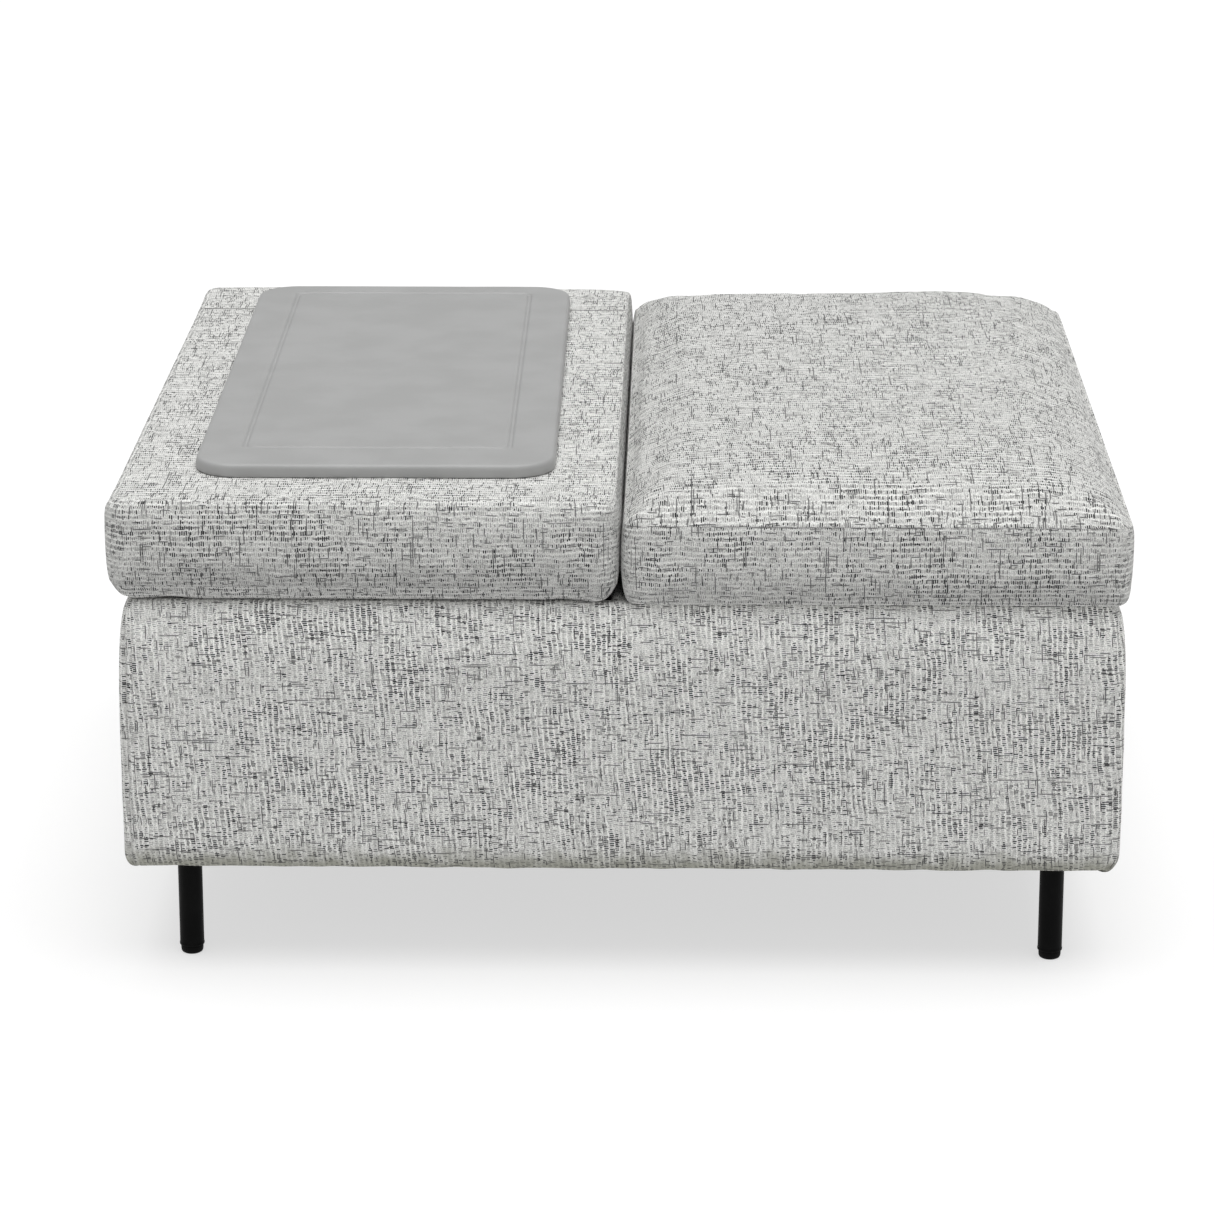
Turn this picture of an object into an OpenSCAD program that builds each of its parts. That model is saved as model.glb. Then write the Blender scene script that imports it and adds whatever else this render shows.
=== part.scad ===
// Square storage ottoman: an upholstered plywood box on four round metal legs, closed by two
// identical lift-off lids. Each lid is a cushion on one face and a tray on the other.
// +X is to the right, -Y is the front, +Z is up. The origin is on the floor, under the middle.

/* [Overall] */
// Width across both lids
overall_w = 1028; // [960:2:1080]
// Depth of the lids, front to back
lid_d = 975; // [900:5:1020]
// Height of the padded rim that the lids rest on
rim_z = 395; // [375:1:415]

/* [Base] */
// How far the lids stand out past the base on every side
overhang = 11; // [4:1:16]
// Height of the base's underside above the floor
leg_h = 118; // [100:1:135]
// Thickness of the upholstered covering on the outside of the base
pad_t = 10; // [6:1:14]
// Thickness of the padding on top of the rim
rim_pad_t = 5; // [3:1:8]
// Thickness of the side panels and the divider
panel_t = 15; // [12:1:18]
// Thickness of the deck that forms the floor of the storage space
deck_t = 12; // [9:1:15]

/* [Legs] */
// Outer diameter of a leg tube
leg_tube_d = 25; // [22:1:30]
// Wall of a leg tube
leg_wall = 2; // [1.5:0.5:2.5]
// Distance from the base's outer faces to a leg's axis
leg_inset = 59; // [54:1:70]
// Height of the plastic foot that shows under a leg
glide_h = 9; // [7:1:12]

/* [Lids] */
// Gap between the two lids
lid_gap = 4; // [3:0.5:6]
// Height of a lid's straight border, from its underside to the top seam
border_h = 85; // [75:1:95]
// Rise of the cushion's crown above the top seam
crown_h = 35; // [30:1:40]
// Radius of a lid's upright corners
lid_corner_r = 22; // [14:1:30]
// Thickness of a lid's board
board_t = 15; // [12:1:18]

/* [Trays] */
// Width of the fabric left showing on each long side of a tray
tray_side_margin = 73; // [66:1:90]
// Width of the fabric left showing in front of a tray
tray_front_margin = 95; // [80:1:110]
// Width of the fabric left showing behind a tray
tray_back_margin = 60; // [60:1:90]
// How far a tray sits off the middle of its lid, towards the joint between the lids
tray_shift = 5; // [0:1:6]
// Thickness of a tray, with its covering
tray_t = 14; // [11:1:16]
// Radius of a tray's corners
tray_corner_r = 45; // [25:1:60]
// Distance from a tray's edge to the middle of its groove
groove_inset = 47; // [35:1:60]

/* [Hidden] */

$fn = 48;
eps = 0.01;               // overlap that keeps a cut open at a face
cloth_t = 1.5;            // upholstery fabric, lining and dust cover
fit_gap = 0.1;            // clearance round screws, studs and plugs
rest_gap = 0.5;           // gap left between a lid and the rim, so that their faces stay clear

// Base, outside to inside
base_w = overall_w - 2 * overhang;
base_d = lid_d - 2 * overhang;
shell_w = base_w - 2 * pad_t;
shell_d = base_d - 2 * pad_t;
inner_w = shell_w - 2 * panel_t;
inner_d = shell_d - 2 * panel_t;
shell_z = leg_h + cloth_t;
shell_top = rim_z - rim_pad_t;
block_h = 30;             // corner blocks and cleats under the deck
deck_z = shell_z + block_h;
floor_z = deck_z + deck_t;
tuck_t = 2;               // cover fabric turned down inside the rim
tuck_h = 40;
tuck_z = shell_top - tuck_h;
divider_pad_t = 3;
block_w = 80;
cleat_w = 30;

// Legs and their fixings
leg_x = base_w / 2 - leg_inset;
leg_y = base_d / 2 - leg_inset;
plug_t = 10;              // solid plug welded in the top of a leg tube
stud_d = 8;
stud_drop = 8;            // length of stud inside the leg's plug
stud_l = 36;
tee_barrel_d = 10;
tee_flange_d = 22;
tee_flange_t = 1.5;
tee_barrel_h = 12;
glide_plug_h = 12;
glide_round = 5;          // rounding of a foot's bottom edge
glide_d = 22;

// Screws that hold the panels together
screw_d = 4;
screw_head_d = 8;
screw_head_h = 3;
frame_screw_l = 45;
screw_rows = [60, 135, 210];       // heights above the underside of the panels

// Lids, in their own frame: the underside is at zero and the cushion faces up
lid_w = (overall_w - lid_gap) / 2;
lid_x = (lid_w + lid_gap) / 2;
crown_fn = 24;
// Each step of the crown: distance in from the border, and the share of the rise reached there
crown_steps = [[0, 0], [5, 0.2], [14, 0.4], [26, 0.54], [38, 0.62], [80, 0.83], [130, 0.94], [200, 1]];
rim_contact_rise = 0.62 * crown_h; // crown height over the rim's inner edge, where a turned lid rests
turned_top_z = rim_z + rest_gap + rim_contact_rise + border_h;

// Trays, in the lid's frame, hanging below its underside
tray_w = lid_w - 2 * tray_side_margin;
tray_d = lid_d - tray_front_margin - tray_back_margin;
tray_y = (tray_front_margin - tray_back_margin) / 2;
wrap_t = 1.2;
tray_edge_r = 4;          // softened top edge of a tray
groove_w = 8;
groove_depth = 1.6;
groove_r = 8;             // outer corner radius of the groove
tray_screw_l = 24;
tray_screw_x = tray_w / 2 - 80;
tray_screw_pitch = 300;

fabric_grey = [0.78, 0.78, 0.76];
tray_grey = [0.63, 0.64, 0.64];
lining_black = [0.12, 0.12, 0.13];
ply = [0.80, 0.68, 0.50];
foam_cream = [0.93, 0.90, 0.78];
leg_black = [0.05, 0.05, 0.05];
zinc = [0.72, 0.73, 0.75];

// ---- shared shapes ----

// Block centred on X and Y, standing on z
module slab(w, d, h, z = 0) {
  translate([-w / 2, -d / 2, z]) cube([w, d, h]);
}

// Slab with upright rounded corners, centred on X and Y
module rounded_slab(w, d, h, r, z = 0, fn = $fn) {
  translate([0, 0, z]) linear_extrude(h) union() {
    square([w - 2 * r, d], center = true);
    square([w, d - 2 * r], center = true);
    for (sx = [-1, 1], sy = [-1, 1])
      translate([sx * (w / 2 - r), sy * (d / 2 - r)]) circle(r, $fn = fn);
  }
}

// Places a child at the four leg positions
module at_legs() {
  for (sx = [-1, 1], sy = [-1, 1]) translate([sx * leg_x, sy * leg_y, 0]) children();
}

// Countersunk screw along +Z, with the top of its head at the origin and its point below
module screw(length) {
  translate([0, 0, -screw_head_h])
    cylinder(d1 = screw_d, d2 = screw_head_d, h = screw_head_h, $fn = 24);
  translate([0, 0, -length]) cylinder(d = screw_d, h = length - screw_head_h + eps, $fn = 24);
}

// The hole that such a screw sits in
module screw_hole(length) {
  translate([0, 0, -screw_head_h])
    cylinder(d1 = screw_d + 2 * fit_gap, d2 = screw_head_d + 2 * fit_gap, h = screw_head_h + eps, $fn = 24);
  translate([0, 0, -length - fit_gap]) cylinder(d = screw_d + 2 * fit_gap, h = length, $fn = 24);
}

// Places a child at every frame screw: through the front and back panels, into the ends of
// the side panels and the divider
module at_frame_screws() {
  for (sy = [-1, 1], x = [-1, 0, 1], z = screw_rows)
    translate([x * (shell_w - panel_t) / 2, sy * shell_d / 2, shell_z + z])
      rotate([-sy * 90, 0, 0]) children();
}

// ---- base box ----

module end_panel(sy) {
  color(ply) difference() {
    translate([0, sy * (shell_d - panel_t) / 2, 0])
      slab(shell_w, panel_t, shell_top - shell_z, shell_z);
    at_frame_screws() screw_hole(frame_screw_l);
  }
}

module side_panel(sx) {
  color(ply) difference() {
    translate([sx * (shell_w - panel_t) / 2, 0, 0])
      slab(panel_t, inner_d, shell_top - shell_z, shell_z);
    at_frame_screws() screw_hole(frame_screw_l);
  }
}

module front_panel() { end_panel(-1); }
module back_panel() { end_panel(1); }
module left_panel() { side_panel(-1); }
module right_panel() { side_panel(1); }

module centre_divider() {
  color(ply) difference() {
    slab(panel_t, inner_d, shell_top - floor_z, floor_z);
    at_frame_screws() screw_hole(frame_screw_l);
  }
}

module deck() {
  color(ply) slab(inner_w, inner_d, deck_t, deck_z);
}

// Timber strips under the deck's edges, between the corner blocks
module deck_cleats() {
  color(ply) {
    for (sy = [-1, 1]) translate([0, sy * (inner_d - cleat_w) / 2, 0])
      slab(inner_w - 2 * block_w, cleat_w, block_h, shell_z);
    for (sx = [-1, 1]) translate([sx * (inner_w - cleat_w) / 2, 0, 0])
      slab(cleat_w, inner_d - 2 * block_w, block_h, shell_z);
  }
}

// Timber strip under the middle of the deck, below the divider
module deck_crosspiece() {
  color(ply) slab(cleat_w, inner_d - 2 * cleat_w, block_h, shell_z);
}

// Blocks that the legs screw up into
module corner_blocks() {
  color(ply) difference() {
    for (sx = [-1, 1], sy = [-1, 1])
      translate([sx * (inner_w - block_w) / 2, sy * (inner_d - block_w) / 2, 0])
        slab(block_w, block_w, block_h, shell_z);
    at_legs() {
      translate([0, 0, shell_z - 1])
        cylinder(d = tee_barrel_d + 2 * fit_gap, h = block_h + 2);
      translate([0, 0, deck_z - tee_flange_t])
        cylinder(d = tee_flange_d + 2 * fit_gap, h = tee_flange_t + 1);
    }
  }
}

// ---- upholstery of the base ----

// Covering of the front or back: outer pad, rim pad and the edge turned down inside
module end_cover(sy) {
  rim_t = panel_t + tuck_t;
  color(fabric_grey) difference() {
    union() {
      translate([0, sy * (base_d - pad_t) / 2, 0]) slab(base_w, pad_t, rim_z - leg_h, leg_h);
      translate([0, sy * (shell_d - rim_t) / 2, 0])
        slab(inner_w - 2 * tuck_t, rim_t + 2 * eps, rim_pad_t, shell_top);
      translate([0, sy * (inner_d - tuck_t) / 2, 0])
        slab(inner_w - 2 * tuck_t, tuck_t, tuck_h + eps, tuck_z);
    }
    slab(panel_t + 2 * divider_pad_t, inner_d, tuck_h + rim_pad_t + 1, tuck_z - eps);
  }
}

// Covering of the left or right side, which also caps the corners of the rim
module side_cover(sx) {
  rim_t = panel_t + tuck_t;
  color(fabric_grey) {
    translate([sx * (base_w - pad_t) / 2, 0, 0]) slab(pad_t, shell_d, rim_z - leg_h, leg_h);
    translate([sx * (shell_w - rim_t) / 2, 0, 0])
      slab(rim_t + 2 * eps, shell_d, rim_pad_t, shell_top);
    translate([sx * (inner_w - tuck_t) / 2, 0, 0])
      slab(tuck_t, inner_d, tuck_h + eps, tuck_z);
  }
}

module front_cover() { end_cover(-1); }
module back_cover() { end_cover(1); }
module left_cover() { side_cover(-1); }
module right_cover() { side_cover(1); }

// Padded strip over the top of the divider
module divider_cover() {
  color(fabric_grey) difference() {
    slab(panel_t + 2 * divider_pad_t, inner_d, rim_z - tuck_z, tuck_z);
    slab(panel_t, inner_d + 1, tuck_h + eps, tuck_z - eps);
  }
}

// Cloth lining of one storage compartment, open at the top
module lining(sx) {
  w = (inner_w - panel_t) / 2;
  color(lining_black) translate([sx * (panel_t + w) / 2, 0, 0]) difference() {
    slab(w, inner_d, tuck_z - floor_z, floor_z);
    slab(w - 2 * cloth_t, inner_d - 2 * cloth_t, tuck_z - floor_z, floor_z + cloth_t);
  }
}

module left_lining() { lining(-1); }
module right_lining() { lining(1); }

module dust_cover() {
  color(lining_black) difference() {
    slab(shell_w, shell_d, cloth_t, leg_h);
    at_legs() translate([0, 0, leg_h - 1]) cylinder(d = leg_tube_d + 2, h = cloth_t + 2);
  }
}

// ---- legs ----

module leg(sx, sy) {
  color(leg_black) translate([sx * leg_x, sy * leg_y, glide_h]) difference() {
    cylinder(d = leg_tube_d, h = shell_z - glide_h);
    translate([0, 0, -1])
      cylinder(d = leg_tube_d - 2 * leg_wall, h = shell_z - glide_h - plug_t + 1);
    translate([0, 0, shell_z - glide_h - plug_t - 1])
      cylinder(d = stud_d + 2 * fit_gap, h = plug_t + 2);
  }
}

module front_left_leg() { leg(-1, -1); }
module front_right_leg() { leg(1, -1); }
module back_left_leg() { leg(-1, 1); }
module back_right_leg() { leg(1, 1); }

// Plastic foot: a rounded puck under the tube, with a plug pushed up inside it
module glide(sx, sy) {
  plug_d = leg_tube_d - 2 * leg_wall - 2 * fit_gap;
  color(leg_black) translate([sx * leg_x, sy * leg_y, 0]) {
    rotate_extrude() intersection() {
      union() {
        translate([0, glide_round]) square([glide_d / 2, glide_h - glide_round]);
        square([glide_d / 2 - glide_round, glide_h]);
        translate([glide_d / 2 - glide_round, glide_round]) circle(glide_round);
      }
      square([glide_d, glide_h]);
    }
    translate([0, 0, glide_h - eps]) cylinder(d = plug_d, h = glide_plug_h);
  }
}

module front_left_glide() { glide(-1, -1); }
module front_right_glide() { glide(1, -1); }
module back_left_glide() { glide(-1, 1); }
module back_right_glide() { glide(1, 1); }

// Threaded studs that join the legs to the tee nuts
module leg_studs() {
  color(zinc) at_legs() translate([0, 0, shell_z - stud_drop]) cylinder(d = stud_d, h = stud_l);
}

module tee_nuts() {
  color(zinc) at_legs() difference() {
    union() {
      translate([0, 0, deck_z - tee_barrel_h]) cylinder(d = tee_barrel_d, h = tee_barrel_h);
      translate([0, 0, deck_z - tee_flange_t]) cylinder(d = tee_flange_d, h = tee_flange_t);
    }
    translate([0, 0, deck_z - tee_barrel_h - 1])
      cylinder(d = stud_d + 2 * fit_gap, h = tee_barrel_h + 2);
  }
}

module frame_screws() {
  color(zinc) at_frame_screws() screw(frame_screw_l);
}

// ---- lid, cushion side up, underside at zero ----

// Crowned solid above the border, from z to the top, with its skin taken in by t
module crown(z, t) {
  hull() for (s = crown_steps) {
    w = lid_w - 2 * (s[0] + t);
    r = min(lid_corner_r - t + 0.4 * s[0], 0.45 * w);
    rounded_slab(w, lid_d - 2 * (s[0] + t), eps, r, z + s[1] * crown_h, crown_fn);
  }
}

module at_tray_screws() {
  for (sx = [-1, 1], y = [-1, 0, 1])
    translate([sx * tray_screw_x - tray_shift, tray_y + y * tray_screw_pitch, cloth_t + board_t]) children();
}

module lid_board() {
  color(ply) difference() {
    rounded_slab(lid_w - 2 * cloth_t, lid_d - 2 * cloth_t, board_t, lid_corner_r - cloth_t, cloth_t);
    at_tray_screws() screw_hole(tray_screw_l);
  }
}

module lid_foam() {
  color(foam_cream) {
    rounded_slab(lid_w - 2 * cloth_t, lid_d - 2 * cloth_t, border_h - board_t - 2 * cloth_t,
                 lid_corner_r - cloth_t, board_t + cloth_t, crown_fn);
    crown(border_h - cloth_t - eps, cloth_t);
  }
}

module lid_top_cover() {
  color(fabric_grey) difference() {
    crown(border_h, 0);
    crown(border_h - cloth_t, cloth_t);
  }
}

module lid_border() {
  color(fabric_grey) difference() {
    rounded_slab(lid_w, lid_d, border_h - cloth_t, lid_corner_r, cloth_t);
    rounded_slab(lid_w - 2 * cloth_t, lid_d - 2 * cloth_t, border_h, lid_corner_r - cloth_t, 0);
  }
}

module lid_base_cloth() {
  color(fabric_grey) difference() {
    rounded_slab(lid_w, lid_d, cloth_t, lid_corner_r);
    at_tray_screws() screw_hole(tray_screw_l);
  }
}

// Outline of a tray, hanging below zero, with its skin taken in by t
module tray_block(t) {
  w = tray_w - 2 * t;
  d = tray_d - 2 * t;
  r = tray_corner_r - t;
  translate([-tray_shift, tray_y, 0]) hull() {
    rounded_slab(w, d, eps, r, -eps, 32);
    rounded_slab(w, d, eps, r, -tray_t + t + tray_edge_r, 32);
    rounded_slab(w - tray_edge_r / 2, d - tray_edge_r / 2, eps, r, -tray_t + t + tray_edge_r / 3, 32);
    rounded_slab(w - 2 * tray_edge_r, d - 2 * tray_edge_r, eps, r, -tray_t + t, 32);
  }
}

// Ring that cuts a groove of this width and depth in the tray's face
module tray_groove(width, depth) {
  w = tray_w - 2 * groove_inset;
  d = tray_d - 2 * groove_inset;
  translate([-tray_shift, tray_y, 0]) difference() {
    rounded_slab(w + width, d + width, depth + 1, groove_r, -tray_t - 1);
    rounded_slab(w - width, d - width, depth + 3, groove_r / 2, -tray_t - 2);
  }
}

module tray_core() {
  color(ply) difference() {
    tray_block(wrap_t);
    tray_groove(groove_w + 2 * wrap_t, groove_depth + wrap_t);
    at_tray_screws() screw_hole(tray_screw_l);
  }
}

module tray_wrap() {
  color(tray_grey) difference() {
    tray_block(0);
    difference() {
      tray_block(wrap_t);
      tray_groove(groove_w + 2 * wrap_t, groove_depth + wrap_t);
    }
    tray_groove(groove_w, groove_depth);
  }
}

module tray_screws() {
  color(zinc) at_tray_screws() screw(tray_screw_l);
}

// ---- the two lids in their places ----

// The right lid lies cushion side up
module right_lid() {
  translate([lid_x, 0, rim_z + rest_gap]) children();
}

// The left lid is the same lid turned over, tray side up
module left_lid() {
  translate([-lid_x, 0, turned_top_z]) rotate([0, 180, 0]) children();
}

module left_lid_board() { left_lid() lid_board(); }
module left_lid_foam() { left_lid() lid_foam(); }
module left_lid_top_cover() { left_lid() lid_top_cover(); }
module left_lid_border() { left_lid() lid_border(); }
module left_lid_base_cloth() { left_lid() lid_base_cloth(); }
module left_tray_core() { left_lid() tray_core(); }
module left_tray_wrap() { left_lid() tray_wrap(); }
module left_tray_screws() { left_lid() tray_screws(); }

module right_lid_board() { right_lid() lid_board(); }
module right_lid_foam() { right_lid() lid_foam(); }
module right_lid_top_cover() { right_lid() lid_top_cover(); }
module right_lid_border() { right_lid() lid_border(); }
module right_lid_base_cloth() { right_lid() lid_base_cloth(); }
module right_tray_core() { right_lid() tray_core(); }
module right_tray_wrap() { right_lid() tray_wrap(); }
module right_tray_screws() { right_lid() tray_screws(); }

front_panel();
back_panel();
left_panel();
right_panel();
centre_divider();
deck();
deck_cleats();
deck_crosspiece();
corner_blocks();
front_cover();
back_cover();
left_cover();
right_cover();
divider_cover();
left_lining();
right_lining();
dust_cover();
front_left_leg();
front_right_leg();
back_left_leg();
back_right_leg();
front_left_glide();
front_right_glide();
back_left_glide();
back_right_glide();
leg_studs();
tee_nuts();
frame_screws();
left_lid_board();
left_lid_foam();
left_lid_top_cover();
left_lid_border();
left_lid_base_cloth();
left_tray_core();
left_tray_wrap();
left_tray_screws();
right_lid_board();
right_lid_foam();
right_lid_top_cover();
right_lid_border();
right_lid_base_cloth();
right_tray_core();
right_tray_wrap();
right_tray_screws();
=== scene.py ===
"""Looks for the storage ottoman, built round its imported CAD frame. All lengths are in metres.

The camera and light come first, then the materials, then the base, the lids and their trays.
"""
import math

import bmesh
import bpy
import numpy as np
from mathutils import Matrix, Vector


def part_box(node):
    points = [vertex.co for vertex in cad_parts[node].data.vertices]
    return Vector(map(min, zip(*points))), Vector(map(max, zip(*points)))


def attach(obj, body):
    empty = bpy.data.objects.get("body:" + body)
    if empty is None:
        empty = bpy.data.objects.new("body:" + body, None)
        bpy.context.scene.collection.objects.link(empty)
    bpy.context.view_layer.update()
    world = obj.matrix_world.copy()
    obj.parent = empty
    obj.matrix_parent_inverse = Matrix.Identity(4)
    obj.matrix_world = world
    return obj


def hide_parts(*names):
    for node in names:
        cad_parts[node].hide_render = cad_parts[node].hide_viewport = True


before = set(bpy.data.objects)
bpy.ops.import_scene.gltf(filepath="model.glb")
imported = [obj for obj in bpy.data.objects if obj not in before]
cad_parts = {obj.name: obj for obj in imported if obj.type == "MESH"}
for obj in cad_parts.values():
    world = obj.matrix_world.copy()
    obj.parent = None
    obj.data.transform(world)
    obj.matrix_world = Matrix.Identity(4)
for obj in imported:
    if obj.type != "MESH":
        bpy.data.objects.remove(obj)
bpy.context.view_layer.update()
MM = 0.001
SIDES = ("left", "right")

CAMERA_PLACE = (0.065, -4.676, 1.671)
CAMERA_PITCH, CAMERA_YAW = 0.29524, -0.01848  # radians: down, and to the left
LENS_MM, SENSOR_MM = 130.5, 36
FLOOR_GREY, FLOOR_GLOW = 0.42, 0.62
WORLD_LIGHT, OVERHEAD_LIGHT, FRONT_LIGHT = 0.33, 2.28, 0.10


# ---------------------------------------------------------------- camera, light and floor

def make_camera():
    """A long lens at the photographed height, a little right of centre and turned slightly left."""
    pitch, yaw = CAMERA_PITCH, CAMERA_YAW
    forward = Vector((math.sin(yaw) * math.cos(pitch), math.cos(yaw) * math.cos(pitch), -math.sin(pitch)))
    right = Vector((math.cos(yaw), -math.sin(yaw), 0))
    up = right.cross(forward)
    data = bpy.data.cameras.new("camera")
    data.lens, data.sensor_width = LENS_MM, SENSOR_MM
    data.clip_start, data.clip_end = 0.1, 60
    camera = bpy.data.objects.new("camera", data)
    rotation = Matrix((right, up, -forward)).transposed()
    camera.matrix_world = Matrix.Translation(CAMERA_PLACE) @ rotation.to_4x4()
    bpy.context.scene.collection.objects.link(camera)
    bpy.context.scene.camera = camera


def wide_light(name, direction, spread, strength):
    """A distant soft light that shines from the given direction."""
    data = bpy.data.lights.new(name, "SUN")
    data.energy, data.angle = strength, math.radians(spread)
    light = bpy.data.objects.new(name, data)
    light.rotation_euler = Vector(direction).to_track_quat("Z", "Y").to_euler()
    bpy.context.scene.collection.objects.link(light)


def make_studio():
    """Soft white room light, a wide overhead light and a weak one from the front."""
    scene = bpy.context.scene
    scene.view_settings.view_transform = "Standard"
    world = bpy.data.worlds.new("studio")
    world.use_nodes = True
    background = world.node_tree.nodes["Background"]
    background.inputs["Color"].default_value = (1, 1, 1, 1)
    background.inputs["Strength"].default_value = WORLD_LIGHT
    scene.world = world
    wide_light("overhead_light", (0.06, -0.08, 1), 60, OVERHEAD_LIGHT)
    wide_light("front_light", (0.2, -1, 0.6), 50, FRONT_LIGHT)

    bpy.ops.mesh.primitive_plane_add(size=60, location=(0, 0, 0))
    floor = bpy.context.object
    floor.name = "floor"
    material, nodes = new_material("floor_paint")
    nodes.bsdf(color=(FLOOR_GREY,) * 3, roughness=0.9, specular=0.0)
    nodes.shader.inputs["Emission Color"].default_value = (1, 1, 1, 1)
    nodes.shader.inputs["Emission Strength"].default_value = FLOOR_GLOW
    floor.data.materials.append(material)


# ---------------------------------------------------------------- material helpers

class Nodes:
    """Short calls for the nodes of one material."""

    def __init__(self, material):
        self.tree = material.node_tree
        self.shader = self.tree.nodes["Principled BSDF"]

    def bsdf(self, color=None, roughness=0.5, specular=0.5, sheen=0.0, sheen_roughness=0.5, metallic=0.0):
        values = {"Roughness": roughness, "Specular IOR Level": specular, "Sheen Weight": sheen,
                  "Sheen Roughness": sheen_roughness, "Metallic": metallic, "Coat Weight": 0.0}
        for name, value in values.items():
            self.shader.inputs[name].default_value = value
        if color is not None:
            self.shader.inputs["Base Color"].default_value = (*color, 1)

    def link(self, value, socket):
        if isinstance(value, (int, float)):
            socket.default_value = value
        elif isinstance(value, tuple):
            socket.default_value = (*value, 1) if len(socket.default_value) == 4 else value
        else:
            self.tree.links.new(value, socket)

    def to_shader(self, **sockets):
        for name, value in sockets.items():
            self.link(value, self.shader.inputs[name.replace("_", " ")])

    def math(self, operation, a, b=None, clamp=False):
        node = self.tree.nodes.new("ShaderNodeMath")
        node.operation, node.use_clamp = operation, clamp
        for value, socket in zip((a, b), node.inputs):
            if value is not None:
                self.link(value, socket)
        return node.outputs[0]

    def scaled(self, a, factor):
        return self.math("MULTIPLY", a, factor)

    def combine(self, x=0.0, y=0.0, z=0.0):
        node = self.tree.nodes.new("ShaderNodeCombineXYZ")
        for value, socket in zip((x, y, z), node.inputs):
            self.link(value, socket)
        return node.outputs[0]

    def separate(self, vector):
        node = self.tree.nodes.new("ShaderNodeSeparateXYZ")
        self.link(vector, node.inputs[0])
        return node.outputs[0], node.outputs[1], node.outputs[2]

    def uv_map(self, name):
        node = self.tree.nodes.new("ShaderNodeUVMap")
        node.uv_map = name
        return node.outputs[0]

    def weave(self):
        """The cloth's own coordinates, in millimetres: across its ribs, and along them."""
        u, v, _ = self.separate(self.uv_map("weave"))
        return self.scaled(u, 1000), self.scaled(v, 1000)

    def coordinate(self, kind):
        """A place or a direction on the piece itself: "Object" or "Normal"."""
        return self.tree.nodes.new("ShaderNodeTexCoord").outputs[kind]

    def object_place(self, scale=1.0):
        scaled = self.tree.nodes.new("ShaderNodeVectorMath")
        scaled.operation = "SCALE"
        self.link(self.coordinate("Object"), scaled.inputs[0])
        scaled.inputs["Scale"].default_value = scale
        return scaled.outputs[0]

    def noise(self, vector, scale=1.0, detail=0.0, dimensions="2D"):
        node = self.tree.nodes.new("ShaderNodeTexNoise")
        node.noise_dimensions = dimensions
        self.link(vector, node.inputs["Vector"])
        for name, value in (("Scale", scale), ("Detail", detail), ("Roughness", 0.5)):
            node.inputs[name].default_value = value
        return node.outputs["Fac"]

    def random(self, vector):
        """One value from 0 to 1 for each whole-number place."""
        node = self.tree.nodes.new("ShaderNodeTexWhiteNoise")
        node.noise_dimensions = "2D"
        self.link(vector, node.inputs["Vector"])
        return node.outputs["Value"]

    def ramp(self, value, low, high, out_low=0.0, out_high=1.0):
        """A smooth step from out_low at low to out_high at high."""
        node = self.tree.nodes.new("ShaderNodeMapRange")
        node.interpolation_type = "SMOOTHSTEP"
        for v, socket in zip((value, low, high, out_low, out_high), node.inputs):
            self.link(v, socket)
        return node.outputs[0]

    def mix(self, factor, a, b):
        node = self.tree.nodes.new("ShaderNodeMix")
        node.data_type = "RGBA"
        for value, socket in zip((factor, a, b), (node.inputs[0], node.inputs[6], node.inputs[7])):
            self.link(value, socket)
        return node.outputs[2]

    def cell(self, value, size):
        """Which repeat of the given size a place is in, and how far through it."""
        ratio = self.scaled(value, 1 / size)
        return self.math("FLOOR", ratio), self.math("FRACT", ratio)

    def bar(self, fraction, half_width, soft=0.12):
        """1 along the middle of a repeat, falling to 0 at its sides."""
        distance = self.math("ABSOLUTE", self.math("SUBTRACT", fraction, 0.5))
        return self.ramp(distance, half_width + soft, half_width - soft)

    def bump(self, height, distance, strength):
        node = self.tree.nodes.new("ShaderNodeBump")
        node.inputs["Strength"].default_value = strength
        node.inputs["Distance"].default_value = distance
        self.link(height, node.inputs["Height"])
        return node.outputs[0]


def new_material(name):
    material = bpy.data.materials.new(name)
    material.use_nodes = True
    return material, Nodes(material)


# ---------------------------------------------------------------- materials

RIB, PICK, WARP = 5.3, 2.15, 1.77  # millimetres: the tweed's ribs, its weft ticks and its thin threads
# the seam and hem colours are painted shade: in the seams and under the base's bottom edge
DARK_THREAD, SEAM_SHADE, HEM_SHADE = (0.020, 0.020, 0.022), (0.045, 0.045, 0.045), (0.28, 0.28, 0.235)


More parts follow.
